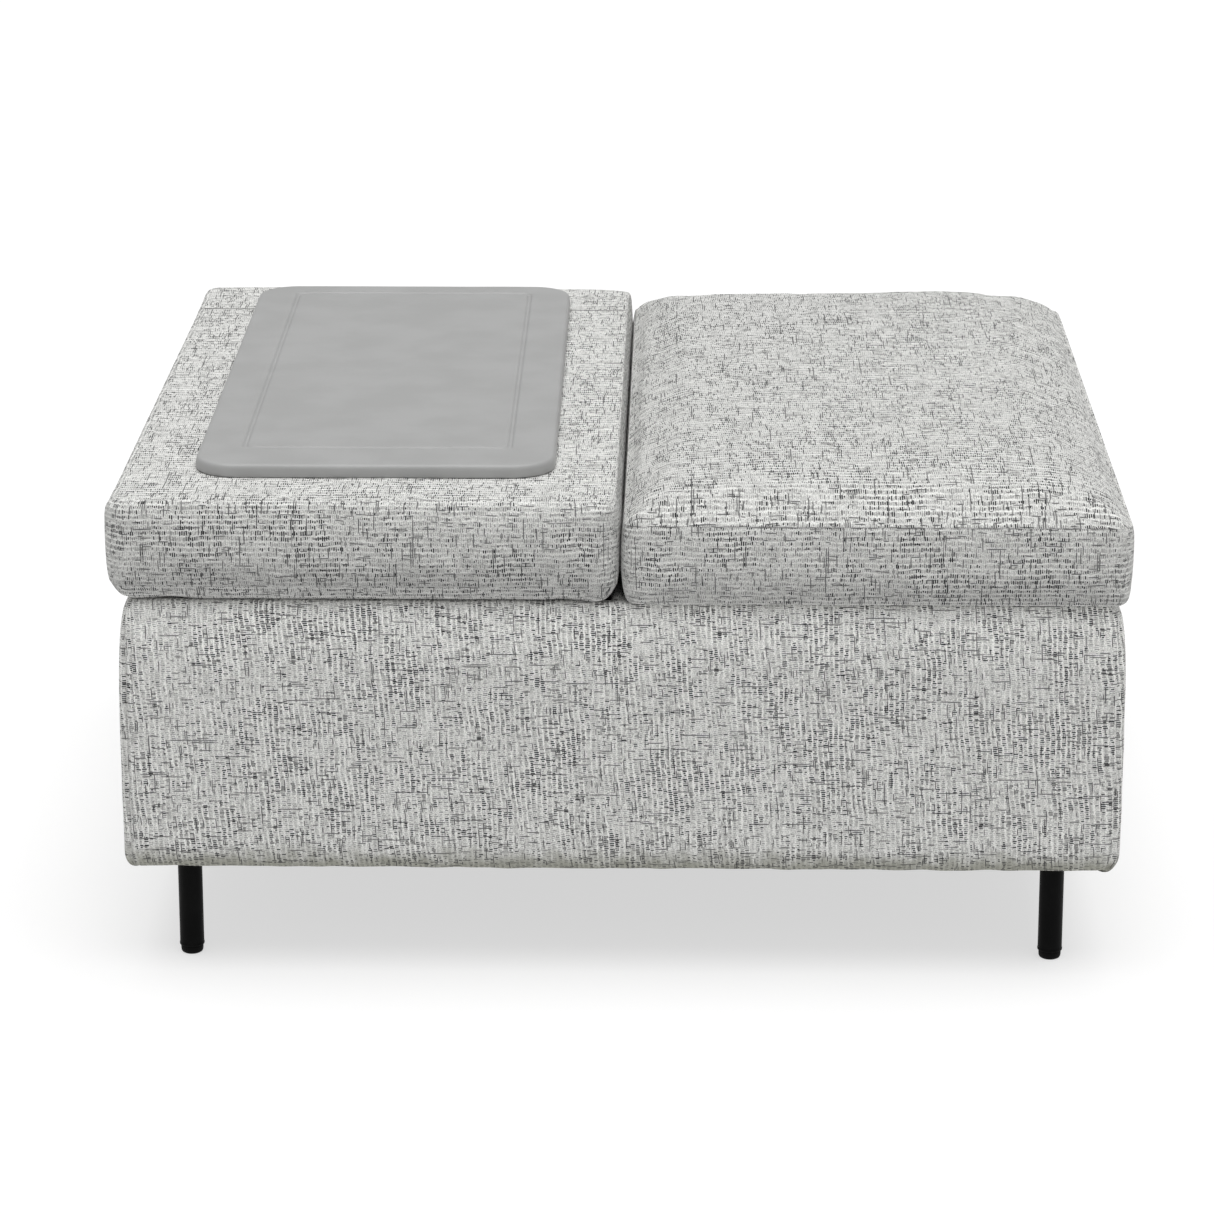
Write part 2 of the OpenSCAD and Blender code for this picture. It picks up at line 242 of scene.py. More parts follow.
def tweed_ticks(n, rib_i, rib_f, v, cluster, patch):
    """The weft ticks stacked along each rib: where they are, and how dark."""
    shift = n.scaled(n.random(n.combine(rib_i, 3.0)), PICK)
    pick_i, pick_f = n.cell(n.math("ADD", v, shift), PICK)
    each = n.random(n.combine(rib_i, pick_i))
    other = n.random(n.combine(pick_i, rib_i))
    # each tick has its own length and lies a little to one side
    reach = n.ramp(each, 0.0, 1.0, 0.18, 0.42)
    off_centre = n.math("SUBTRACT", rib_f, n.ramp(other, 0.0, 1.0, 0.38, 0.62))
    inside = n.ramp(n.math("SUBTRACT", reach, n.math("ABSOLUTE", off_centre)), -0.05, 0.05)
    tick = n.math("MULTIPLY", inside, n.bar(pick_f, 0.28, 0.08))
    # the dark ones come in short stacks on one rib, gathered in small clusters
    run = n.noise(n.combine(n.scaled(rib_i, 7.31), n.scaled(pick_i, 0.30)), detail=1)
    gathered = n.math("ADD", n.scaled(run, 0.60), n.scaled(cluster, 0.40))
    gathered = n.math("ADD", gathered, n.scaled(n.math("SUBTRACT", patch, 0.5), 0.45))
    dark_tick = n.math("MULTIPLY", n.ramp(gathered, 0.50, 0.57), n.ramp(other, 0.15, 0.55, 0.1, 1.0))
    strength = n.math("ADD", n.scaled(dark_tick, 0.95), n.ramp(other, 0, 1, 0.17, 0.62))
    return tick, n.math("MULTIPLY", tick, strength)


def tweed_slubs(n, u, v, warp_i, warp_f):
    """Long thin dark slubs along the ribs and across them."""
    along = n.noise(n.combine(n.scaled(warp_i, 5.77), n.scaled(v, 0.05)), detail=1)
    along = n.math("MULTIPLY", n.ramp(along, 0.645, 0.70), n.bar(warp_f, 0.28))
    weft_i, weft_f = n.cell(v, PICK)
    across = n.noise(n.combine(n.scaled(u, 0.04), n.scaled(weft_i, 6.13)), detail=1)
    across = n.math("MULTIPLY", n.ramp(across, 0.635, 0.69), n.bar(weft_f, 0.23))
    return n.math("MAXIMUM", n.scaled(along, 0.85), n.scaled(across, 0.90))


def tweed_tone(n, v, warp_i, rib_f, patch, fleck):
    """The pale ground: each warp thread its own grey, with fine flecks, and lighter between the ribs."""
    melange = n.noise(n.combine(n.scaled(warp_i, 3.17), n.scaled(v, 0.05)), detail=2)
    mixed = n.math("ADD", n.scaled(melange, 0.35), n.scaled(fleck, 0.65))
    rib_edge = n.ramp(n.math("ABSOLUTE", n.math("SUBTRACT", rib_f, 0.5)), 0.30, 0.46, -0.02, 0.06)
    rib_edge = n.math("MULTIPLY", rib_edge, n.ramp(patch, 0.35, 0.65))
    return n.ramp(n.math("ADD", mixed, rib_edge), 0.3, 0.7, 0.48, 0.97)


def tweed_painted_shading(n, flat, upright, is_lid):
    """Painted light and shade by the way a face looks: the flat tone on level faces and the upright tone on
    standing ones.
    """
    _, _, facing = n.separate(n.coordinate("Normal"))
    level = n.ramp(facing, 0.05, 0.7, upright, flat)
    if is_lid:
        # painted shade darkens its faces as they turn under, and painted light makes the face underneath a
        # little lighter again
        underturn_shade = n.ramp(facing, -0.32, -0.02, 0.74, 1.0)
        lighter = n.ramp(facing, -0.95, -0.6, 1.3, 1.0)
        level = n.math("MULTIPLY", level, n.math("MULTIPLY", underturn_shade, lighter))
    return level


def tweed(name, flat, upright, hem=None):
    """Pale ribbed tweed: weft ticks stacked along each rib, some dark, and thin dark slubs both ways.

    flat and upright are painted light and shade: its tones on level and on standing faces. hem is
    the height of the bottom edge of the base, on the cloth that covers it, where painted shade darkens it.
    """
    material, n = new_material(name)
    u, v = n.weave()
    # the threads wander a little
    wander = n.noise(n.combine(n.scaled(u, 0.02), n.scaled(v, 0.02)), detail=1)
    u = n.math("ADD", u, n.scaled(wander, 5.0))
    v = n.math("ADD", v, n.scaled(n.noise(n.combine(n.scaled(u, 0.11), n.scaled(v, 0.03))), 0.8))
    rib_i, rib_f = n.cell(u, RIB)
    warp_i, warp_f = n.cell(u, WARP)
    cluster = n.noise(n.combine(n.scaled(u, 0.055), n.scaled(v, 0.055)), detail=1)
    patch = n.noise(n.combine(n.scaled(u, 0.018), n.scaled(v, 0.018)), detail=2)
    fleck = n.noise(n.combine(n.scaled(u, 0.9), n.scaled(v, 0.9)), detail=2)

    tick, ticks = tweed_ticks(n, rib_i, rib_f, v, cluster, patch)
    dark = n.math("MAXIMUM", ticks, tweed_slubs(n, u, v, warp_i, warp_f), clamp=True)
    tone = tweed_tone(n, v, warp_i, rib_f, patch, fleck)
    # painted light and shade by the way each face looks
    tone = n.math("MULTIPLY", tone, tweed_painted_shading(n, flat, upright, hem is None))
    if hem is None:
        ground = n.combine(tone, tone, n.scaled(tone, 0.972))
    else:
        # painted light makes the cloth paler below the rim, and painted shade makes it darker and yellower
        # where it is pulled under the bottom edge
        _, _, height = n.separate(n.object_place())
        # painted light: brighter towards the rim, just under the lids
        tone = n.math("MULTIPLY", tone, n.ramp(height, 0.31, 0.385, 1.0, 1.18))
        ground = n.combine(tone, tone, n.scaled(tone, 0.972))
        height = n.math("ADD", height, n.scaled(n.math("SUBTRACT", cluster, 0.5), 0.022))
        # painted shade under the bottom edge
        ground = n.mix(n.ramp(height, hem, hem + 0.028, 0.9, 0), ground, HEM_SHADE)
    color = n.mix(dark, ground, DARK_THREAD)

    # painted shade lies along the seams as a dark line, plainer in some places than in others
    seam, _, _ = n.separate(n.uv_map("seam"))
    plain = n.ramp(cluster, 0.38, 0.60, 0.30, 0.85)
    color = n.mix(n.math("MULTIPLY", n.ramp(seam, 0.5, 0.95), plain), color, SEAM_SHADE)

    relief = n.math("SUBTRACT", n.scaled(n.bar(rib_f, 0.38, 0.2), 0.5), n.scaled(tick, 0.35))
    relief = n.math("ADD", relief, n.scaled(fleck, 0.6))
    relief = n.math("SUBTRACT", relief, n.scaled(seam, 2.0))
    n.bsdf(roughness=0.92, specular=0.12, sheen=0.10, sheen_roughness=0.6)
    n.to_shader(Base_Color=color, Normal=n.bump(relief, 0.0005, 0.6))
    return material


def leatherette():
    """Satin grey vinyl: faint cloudy mottling and a fine grain."""
    material, n = new_material("grey_leatherette")
    place = n.object_place(1000)
    cloud = n.noise(place, 0.018, detail=3, dimensions="3D")
    color = n.mix(n.ramp(cloud, 0.3, 0.7), (0.392, 0.394, 0.390), (0.424, 0.426, 0.423))
    grain = n.noise(place, 0.9, detail=3, dimensions="3D")
    n.bsdf(roughness=0.42, specular=0.5)
    rough = n.ramp(grain, 0.3, 0.7, 0.42, 0.52)
    n.to_shader(Base_Color=color, Roughness=rough, Normal=n.bump(grain, 0.0002, 0.35))
    return material


def powder_coat():
    """Black paint with a slight orange peel, worn a little shinier in places."""
    material, n = new_material("black_powder_coat")
    place = n.object_place(1000)
    peel = n.noise(place, 1.4, detail=2, dimensions="3D")
    wear = n.noise(place, 0.05, detail=3, dimensions="3D")
    color = n.mix(n.ramp(wear, 0.4, 0.75), (0.0022, 0.0022, 0.0022), (0.0045, 0.0045, 0.0045))
    n.bsdf(roughness=0.5, specular=0.06)
    rough = n.ramp(wear, 0.3, 0.7, 0.38, 0.5)
    n.to_shader(Base_Color=color, Roughness=rough, Normal=n.bump(peel, 0.00008, 0.5))
    return material


def black_plastic():
    """Fine-grained moulded plastic with faint scuffs."""
    material, n = new_material("black_plastic")
    place = n.object_place(1000)
    grain = n.noise(place, 2.2, detail=2, dimensions="3D")
    scuff = n.noise(place, 0.25, detail=4, dimensions="3D")
    color = n.mix(n.ramp(scuff, 0.5, 0.8), (0.003, 0.003, 0.003), (0.006, 0.006, 0.006))
    n.bsdf(roughness=0.6, specular=0.08)
    n.to_shader(Base_Color=color, Normal=n.bump(grain, 0.0001, 0.4))
    return material


def plywood():
    """Pale veneer: broad grain with thin dark pores, layered in height."""
    material, n = new_material("plywood")
    x, y, z = n.separate(n.object_place(1000))
    broad = n.combine(n.scaled(x, 0.01), n.scaled(y, 0.01), n.scaled(z, 0.25))
    fine = n.combine(n.scaled(x, 0.06), n.scaled(y, 0.06), n.scaled(z, 1.6))
    grain = n.noise(broad, detail=4, dimensions="3D")
    pores = n.noise(fine, detail=3, dimensions="3D")
    color = n.mix(n.ramp(grain, 0.35, 0.65), (0.62, 0.45, 0.27), (0.74, 0.58, 0.38))
    color = n.mix(n.ramp(pores, 0.6, 0.75, 0, 0.35), color, (0.36, 0.23, 0.12))
    n.bsdf(roughness=0.7, specular=0.25)
    n.to_shader(Base_Color=color, Normal=n.bump(pores, 0.0003, 0.4))
    return material


def zinc_plate():
    """Dull zinc with a faint spangle."""
    material, n = new_material("zinc_plate")
    place = n.object_place(1000)
    spangle = n.noise(place, 0.6, detail=3, dimensions="3D")
    color = n.mix(spangle, (0.50, 0.51, 0.53), (0.68, 0.69, 0.70))
    n.bsdf(roughness=0.35, metallic=1.0)
    n.to_shader(Base_Color=color, Roughness=n.ramp(spangle, 0.3, 0.7, 0.28, 0.45))
    return material


def nonwoven():
    """Black spunbond cloth: a dimpled point-bond pattern over fuzzy fibres."""
    pitch = 1.8
    material, n = new_material("black_nonwoven")
    u, v = n.weave()
    fu = n.math("ABSOLUTE", n.math("SUBTRACT", n.math("FRACT", n.scaled(u, 1 / pitch)), 0.5))
    fv = n.math("ABSOLUTE", n.math("SUBTRACT", n.math("FRACT", n.scaled(v, 1 / pitch)), 0.5))
    dimple = n.ramp(n.math("ADD", fu, fv), 0.2, 0.4)
    fibre = n.noise(n.combine(u, v), 1.3, detail=4)
    cloud = n.noise(n.combine(u, v), 0.02, detail=3)
    color = n.mix(n.ramp(fibre, 0.3, 0.7), (0.010, 0.010, 0.011), (0.032, 0.032, 0.034))
    color = n.mix(n.ramp(cloud, 0.4, 0.7, 0, 0.25), color, (0.045, 0.045, 0.047))
    n.bsdf(roughness=0.85, specular=0.2, sheen=0.15)
    relief = n.math("ADD", n.scaled(dimple, 0.6), n.scaled(fibre, 0.5))
    n.to_shader(Base_Color=color, Normal=n.bump(relief, 0.0004, 0.6))
    return material


# ---------------------------------------------------------------- mesh helpers

class Shell:
    """A closed surface made of grids of points that share their edges. Each grid has its own weave."""

    def __init__(self):
        self.points, self.faces, self.weave, self.count = [], [], [], 0

    def patch(self, points, weave):
        """points is rows x columns x 3, and weave rows x columns x 2, both in metres."""
        rows, columns = points.shape[:2]
        self.points.append(points.reshape(-1, 3))
        flat = weave.reshape(-1, 2)
        for r in range(rows - 1):
            for c in range(columns - 1):
                corner = r * columns + c
                quad = [corner, corner + 1, corner + columns + 1, corner + columns]
                self.faces.append([self.count + q for q in quad])
                self.weave.append(flat[quad])
        self.count += rows * columns

    def build(self, name):
        mesh = bpy.data.meshes.new(name)
        mesh.from_pydata(np.concatenate(self.points).tolist(), [], self.faces)
        layer = mesh.uv_layers.new(name="weave")
        layer.data.foreach_set("uv", np.concatenate(self.weave).astype(np.float32).ravel())
        work = bmesh.new()
        work.from_mesh(mesh)
        bmesh.ops.remove_doubles(work, verts=work.verts, dist=2e-6)
        bmesh.ops.dissolve_degenerate(work, edges=work.edges, dist=1e-7)
        bmesh.ops.recalc_face_normals(work, faces=work.faces)
        work.to_mesh(mesh)
        work.free()
        mesh.polygons.foreach_set("use_smooth", [True] * len(mesh.polygons))
        piece = bpy.data.objects.new(name, mesh)
        bpy.context.scene.collection.objects.link(piece)
        return piece


def finish_piece(piece, material, body, replaced):
    piece.data.materials.append(material)
    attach(piece, body)
    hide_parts(*replaced)


def vertices(piece):
    co = np.zeros(len(piece.data.vertices) * 3)
    piece.data.vertices.foreach_get("co", co)
    return co.reshape(-1, 3)


def mark_seams(piece, mask):
    """Stores how near each vertex is to a seam, from 0 to 1, in a UV map that the cloth reads for its painted
    seam shade.
    """
    layer = piece.data.uv_layers.new(name="seam")
    index = np.zeros(len(piece.data.loops), dtype=int)
    piece.data.loops.foreach_get("vertex_index", index)
    layer.data.foreach_set("uv", np.repeat(mask[index].astype(np.float32), 2))


def subdivide(piece):
    modifier = piece.modifiers.new("smooth", "SUBSURF")
    modifier.levels = modifier.render_levels = 1


def smooth_noise(x, y, seed, cell):
    """Gentle two-way noise, about -1 to 1, from a few sine waves with fixed random directions."""
    random = np.random.default_rng(seed)
    total = np.zeros_like(x, dtype=float)
    for _ in range(7):
        angle, phase, stretch = random.uniform(0, 2 * np.pi, 3)
        k = 2 * np.pi / (cell * (0.6 + 0.25 * stretch))
        total += np.sin(k * (x * np.cos(angle) + y * np.sin(angle)) + phase)
    return total / 3.5


def edge_spacing(half):
    """Grid lines from -half to half, 8 mm apart and closer together near the two edges."""
    fine = [f * MM for f in (0, 3, 7, 12, 18, 26, 36)]
    middle = half - fine[-1]
    count = int(round(middle / (8 * MM)))
    inner = np.linspace(-middle, middle, 2 * count + 1)
    left = np.array([-half + f for f in fine[:-1]])
    return np.concatenate([left, inner, -left[::-1]])


def round_corners(x, y, a, b, r):
    """Moves points of a rectangle of half sizes a and b so that its corners have radius r."""
    dx, dy = a - np.abs(x), b - np.abs(y)
    near = (dx < r) & (dy < r)
    u = np.where(near, 1 - dx / r, 0)
    v = np.where(near, 1 - dy / r, 0)
    rx = a - r + r * u * np.sqrt(1 - v * v / 2)
    ry = b - r + r * v * np.sqrt(1 - u * u / 2)
    return np.where(near, np.sign(x) * rx, x), np.where(near, np.sign(y) * ry, y)


def walk_round(xs, ys):
    """The grid's edge points in order round it, starting and ending at the same corner."""
    front = [(x, ys[0]) for x in xs]
    right = [(xs[-1], y) for y in ys[1:]]
    back = [(x, ys[-1]) for x in xs[::-1][1:]]
    left = [(xs[0], y) for y in ys[::-1][1:]]
    return np.array(front + right + back + left)


# ---------------------------------------------------------------- rings

def on_arc(centre, r, degrees):
    angle = math.radians(degrees)
    return np.array([centre[0] + r * math.cos(angle), centre[1] + r * math.sin(angle)])


def ring(a, b, r, nx, ny, nc):
    """Points round a rounded rectangle of half sizes a and b, from its front left corner; closed.

    nx and ny are the steps along its sides, and nc the steps round each corner.
    """
    a, b = max(a, 0.0), max(b, 0.0)
    r = min(max(r, 0.0), a, b)
    points = []
    corners = ((a - r, r - b, -90), (a - r, b - r, 0), (r - a, b - r, 90), (r - a, r - b, 180))
    for k, (cx, cy, start) in enumerate(corners):
        last_x, last_y, last_start = corners[k - 1]
        before = on_arc((last_x, last_y), r, last_start + 90)
        after = on_arc((cx, cy), r, start)
        count = nx if k % 2 == 0 else ny
        for i in range(count):
            points.append(before + (after - before) * i / count)
        for i in range(nc):
            points.append(on_arc((cx, cy), r, start + 90 * i / nc))
    points.append(points[0])
    return np.array(points)


def run_length(points):
    """Distance along a row of points, from its first."""
    steps = np.linalg.norm(np.diff(points, axis=0), axis=1)
    return np.concatenate([[0], np.cumsum(steps)])


def ring_shell(name, a, b, r, section, counts, change, closed=True, least=0, slant=0):
    """Sweeps a section of (inset, height) millimetres round a rounded rectangle. change moves its points.

    least is the smallest corner radius over the outer 90 mm, and slant leans the weave.
    """
    section = [(d * MM, z * MM) for d, z in section]
    if closed:
        section = section + section[:1]
    rows = []
    for d, z in section:
        row = ring(a - d, b - d, max(r - d, least if d < 0.09 else 0), *counts)
        rows.append(np.column_stack([row, np.full(len(row), z)]))
    around = run_length(ring(a, b, r, *counts))
    up = run_length(np.array(section))
    points = change(np.array(rows), around)
    weave = np.stack(np.meshgrid(around, up), axis=-1)
    weave[..., 0] += slant * weave[..., 1]
    shell = Shell()
    shell.patch(points, weave)
    return shell.build(name)


def round_shell(name, centre, section):
    """A turned piece: (radius, height) millimetres about a vertical line."""
    sides = 48
    angles = np.linspace(0, 2 * np.pi, sides + 1)
    section = np.array(section) * MM
    x = centre[0] + section[:, :1] * np.cos(angles)
    y = centre[1] + section[:, :1] * np.sin(angles)
    z = np.repeat(section[:, 1:], sides + 1, axis=1)
    up = run_length(section)
    shell = Shell()
    shell.patch(np.stack([x, y, z], axis=-1), np.stack(np.meshgrid(angles * 0.01, up), axis=-1))
    return shell.build(name)


# ---------------------------------------------------------------- base

BASE_A, BASE_B, _ = (round(v, 6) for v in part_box("back_cover")[1])  # half the base's width and depth
BASE_R = 0.014
BASE_COUNTS = (100, 94, 14)
CORNER_SEAM_X, FRONT_FACE_Y = 0.4966, 0.455  # the upright seams on the front and back faces
BASE_SHOWN = (
    # inner tuck, up
    (26.9, 350), (27, 352), (27, 358), (27, 366), (27, 374), (26.8, 381), (26.4, 386), (25.8, 389.4),
    (24.6, 392), (22.8, 393.9), (20.2, 394.9),
    # rim, outwards
    (17.5, 395.2), (14.5, 395.2), (12.0, 394.8), (10.2, 394.0), (8.7, 392.4), (7.4, 390.2), (6.4, 387.4),
    # outer face, down
    (5.5, 384), (4.7, 379.5), (3.9, 373), (3.1, 365), (2.3, 355), (1.5, 344), (0.8, 332), (0.3, 318),
    (-0.2, 303), (-0.4, 287), (-0.5, 270), (-0.6, 252), (-0.6, 234), (-0.6, 216), (-0.5, 199), (-0.4, 183),
    (-0.3, 169), (-0.2, 157), (-0.1, 147), (0, 139.5), (0.1, 133), (0.3, 127.5), (0.6, 123), (1.0, 119),
    (1.8, 115.6), (3.2, 112.8), (5.6, 110.9), (9, 110.2), (14, 110.6), (20, 112.2), (27, 115), (33, 118.4),
)
# the hidden side, back up over the panel
BASE_HIDDEN = (
    (33, 119.4), (20, 119.4), (9.8, 119.4), (9.8, 125), (9.8, 160), (9.8, 250), (9.8, 340), (9.8, 385),
    (9.8, 390.2), (17, 390.2), (25.2, 390.2), (25.2, 380), (25.2, 365), (25.2, 350),
)


def base_folds(points, around):
    """Gives the fitted cover its puffed faces, corner seams and the small tucks where it is stapled."""
    x, y, z = points[..., 0], points[..., 1], points[..., 2]
    outside = np.zeros(points.shape[:2])
    outside[:len(BASE_SHOWN)] = 1
    outline = ring(BASE_A, BASE_B, BASE_R, *BASE_COUNTS)
    facing = np.clip((np.abs(outline) - (BASE_A - BASE_R, BASE_B - BASE_R)) / BASE_R, 0, 1) * np.sign(outline)
    nx, ny = (facing / np.maximum(np.linalg.norm(facing, axis=1, keepdims=True), 1e-6)).T
    face = outside * np.clip((z - 0.128) / 0.03, 0, 1) * np.clip((0.392 - z) / 0.03, 0, 1)
    face *= (np.abs(x) > 0.485) | (np.abs(y) > 0.46)
    s = np.broadcast_to(around, x.shape)
    lie = 0.0009 * smooth_noise(s, z * 1.5, 3, 0.16) + 0.0004 * smooth_noise(s, z, 4, 0.045)
    from_seam, on_face = np.abs(x) - CORNER_SEAM_X, np.abs(y) > FRONT_FACE_Y
    seam = np.exp(-((from_seam / 0.0019) ** 2)) * on_face
    ease = np.exp(-((from_seam / 0.007) ** 2)) * on_face
    # the two end panels are padded out a little more than the long ones, and the right one the most
    ends = np.clip((np.abs(x) - 0.486) / 0.012, 0, 1) * np.where(x > 0, 0.0052, 0.0020)
    ends *= outside * np.clip((0.395 - z) / 0.013, 0, 1) * np.clip((z - 0.112) / 0.012, 0, 1)
    points[..., 0] += np.sign(x) * ends
    move = face * lie * (1 - ease) - outside * (z > 0.1145) * (0.0030 * seam)
    # the long panels roll under their bottom edge
    points[..., 1] -= 0.0085 * ny * outside * np.clip((0.146 - z) / 0.030, 0, 1) ** 2
    low = outside * np.exp(-(((z - 0.117) / 0.012) ** 2)) * ((np.abs(x) > 0.474) | (np.abs(y) > 0.448))
    tucks = smooth_noise(s, z * 0.2, 5, 0.022) + 0.8 * smooth_noise(s, z * 0.2, 6, 0.06)
    move += low * 0.0009 * tucks
    points[..., 0] += nx * move
    points[..., 1] += ny * move
    points[..., 2] += low * 0.0010 * smooth_noise(s, z * 0.2, 7, 0.03)
    rim = outside * (z > 0.3935)
    points[..., 2] += rim * 0.0003 * smooth_noise(s, x, 8, 0.05)
    return points


def make_base_cover(cloth):
    """The cloth round the four panels: over the rim, down the faces and under the bottom edge."""
    section = BASE_SHOWN + BASE_HIDDEN
    name = "base_upholstery"
    cover = ring_shell(name, BASE_A, BASE_B, BASE_R, section, BASE_COUNTS, base_folds, slant=-0.06)
    x, y, _ = np.abs(vertices(cover)).T
    # painted shade along the upright corner seams
    mark_seams(cover, np.exp(-(((x - CORNER_SEAM_X) / 0.0016) ** 2)) * (y > FRONT_FACE_Y) * 0.8)
    subdivide(cover)
    panels = ["front_cover", "back_cover", "left_cover", "right_cover"]
    finish_piece(cover, cloth, "base", panels)


def make_divider_cover(cloth):
    """The padded cloth over the top of the centre divider, open underneath."""
    outer = [(10.5, 350), (10.6, 362), (10.6, 375), (10.4, 384), (9.6, 389.5), (7.9, 393), (5.4, 394.9)]
    outer += [(2.6, 395.6)]
    outer = outer + [(0, 395.7)] + [(-x, z) for x, z in outer[::-1]]
    inner = [(8.0, z) for z in (350, 362, 375, 384, 389, 390.3)] + [(5.4, 390.3), (2.6, 390.3)]
    inner = inner + [(0, 390.3)] + [(-x, z) for x, z in inner[::-1]]
    ys = np.linspace(-0.4492, 0.4492, 90)
    shell = Shell()
    surfaces = []
    for path in (outer, inner):
        padded = path is outer
        path = np.array(path) * MM
        grid = np.array([[(x, y, z) for y in ys] for x, z in path])
        if padded:
            ripple = 0.0005 * smooth_noise(grid[..., 1], grid[..., 0] * 4, 11, 0.05)
            grid[..., 2] += ripple * (grid[..., 2] > 0.36)
            grid[..., 0] *= 1 + 0.03 * smooth_noise(grid[..., 1], grid[..., 2], 12, 0.07)
        weave = np.stack(np.meshgrid(ys, run_length(path)), axis=-1)
        surfaces.append(grid)
        shell.patch(grid, weave)
    for end in (0, -1):
        cap = np.stack([surfaces[0][:, end], surfaces[1][:, end]])
        shell.patch(cap, cap[..., [0, 2]])
    for edge in (0, -1):
        hem = np.stack([surfaces[0][edge], surfaces[1][edge]])
        shell.patch(hem, hem[..., [1, 0]])
    divider = shell.build("divider_upholstery")
    subdivide(divider)
    finish_piece(divider, cloth, "base", ["divider_cover"])


def make_legs(paint, plastic):
    """Four painted tubes, slightly flared at the bottom, each on a black plastic pad."""
    tube = [(0, 119.4), (11.9, 119.4), (12.4, 118.9), (12.5, 118), (12.5, 60), (12.5, 13), (12.6, 11.8)]
    tube += [(12.85, 11.2), (12.9, 10.2), (12.75, 9.4), (12.2, 9.05), (0, 9.05)]
    pad = [(0, 9.0), (11.2, 9.0), (11.5, 8.6), (11.55, 7), (11.5, 4.5), (11.2, 2.6), (10.4, 1.2)]
    pad += [(9.0, 0.35), (7.0, 0), (0, 0)]
    for end in ("front", "back"):
        for side in SIDES:
            name = f"{end}_{side}"
            low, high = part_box(name + "_leg")
            centre = (low + high) / 2
            piece = round_shell(name + "_leg_tube", centre, tube)
            finish_piece(piece, paint, "base", [name + "_leg"])
            piece = round_shell(name + "_leg_glide", centre, pad)
            finish_piece(piece, plastic, "base", [name + "_glide"])


def make_lining(side, cloth):
    """The cloth bin that lines one compartment: two faces 1 mm apart, hemmed at the top."""
    low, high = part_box(side + "_lining")
    centre = (low + high) / 2
    a, b = (high.x - low.x) / 2, (high.y - low.y) / 2
    z0 = low.z / MM
    inside = [(1.5, 349.6), (1.5, 346), (1.4, 340)] + [(1.3, z) for z in np.linspace(330, z0 + 16, 13)]
    inside += [(1.6, z0 + 9), (2.8, z0 + 4.6), (5.6, z0 + 2.2), (11, z0 + 1.4)]
    inside += [(d, z0 + 1.2) for d in (22, 38, 58, 80, 105, 130, 155, 180, 205, (a / MM) - 0.001)]
    outside = [((a / MM) - 0.001, z0 + 0.2)] + [(d, z0 + 0.2) for d in (200, 150, 100, 50, 10, 0.3)]
    outside += [(0.3, z) for z in np.linspace(z0 + 20, 330, 5)] + [(0.3, 349.6), (0.9, 350.0)]
    count = len(inside)

    def folds(points, around):
        x, y, z = points[..., 0], points[..., 1], points[..., 2]
        shown = np.zeros(points.shape[:2])
        shown[1:count] = 1
        s = np.broadcast_to(around, x.shape)
        wall = shown * (z > low.z + 0.006)
        seed = 21 if side == "left" else 31
        fold = 0.0005 * (1 + smooth_noise(s, z * 0.5, seed, 0.07))
        points[..., 0] -= wall * (np.abs(x) > a - 0.004) * np.sign(x) * fold
        points[..., 1] -= wall * (np.abs(y) > b - 0.004) * np.sign(y) * fold
        floor = shown * (z < low.z + 0.003)
        points[..., 2] += floor * 0.0005 * (1 + smooth_noise(x, y, seed + 2, 0.09))
        points[..., 0] += centre.x
        return points

    piece = ring_shell(side + "_lining_cloth", a, b, 0.004, inside + outside, (36, 66, 4), folds)
    finish_piece(piece, cloth, "base", [side + "_lining"])


def make_dust_cover(cloth):
    """Black cloth stapled under the frame, a little slack between its staples."""
    def slack(points, around):
        x, y = points[..., 0], points[..., 1]
        inside = np.clip(np.minimum(BASE_A - 0.022 - np.abs(x), BASE_B - 0.022 - np.abs(y)) / 0.05, 0, 1)
        points[..., 2] -= inside * (0.0012 + 0.0008 * smooth_noise(x, y, 41, 0.2))
        return points

    upper = [(20, 111.6), (28, 113.6), (40, 115.2), (60, 116.2)]
    upper += [(d, 117.5) for d in (90, 130, 180, 240, 300, 360, 420, BASE_B / MM)]
    section = upper + [(d, z - 0.5) for d, z in upper[::-1]]
    piece = ring_shell("dust_cover_cloth", BASE_A, BASE_B, 0.03, section, (60, 56, 6), slack)
    finish_piece(piece, cloth, "base", ["dust_cover"])


# ---------------------------------------------------------------- lids

lid_low, lid_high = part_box("right_lid_border")
LID_A, LID_B, _ = (round(v / 2, 6) for v in lid_high - lid_low)
LID_R, CROWN = 0.022, 0.035  # the corner radius of the lid, and its crown's full height
JOIN_Y = LID_B - 0.122  # a seam across the cloth on the board side
SWELL_FRAMES, MOST_SWELL = 20, 0.004

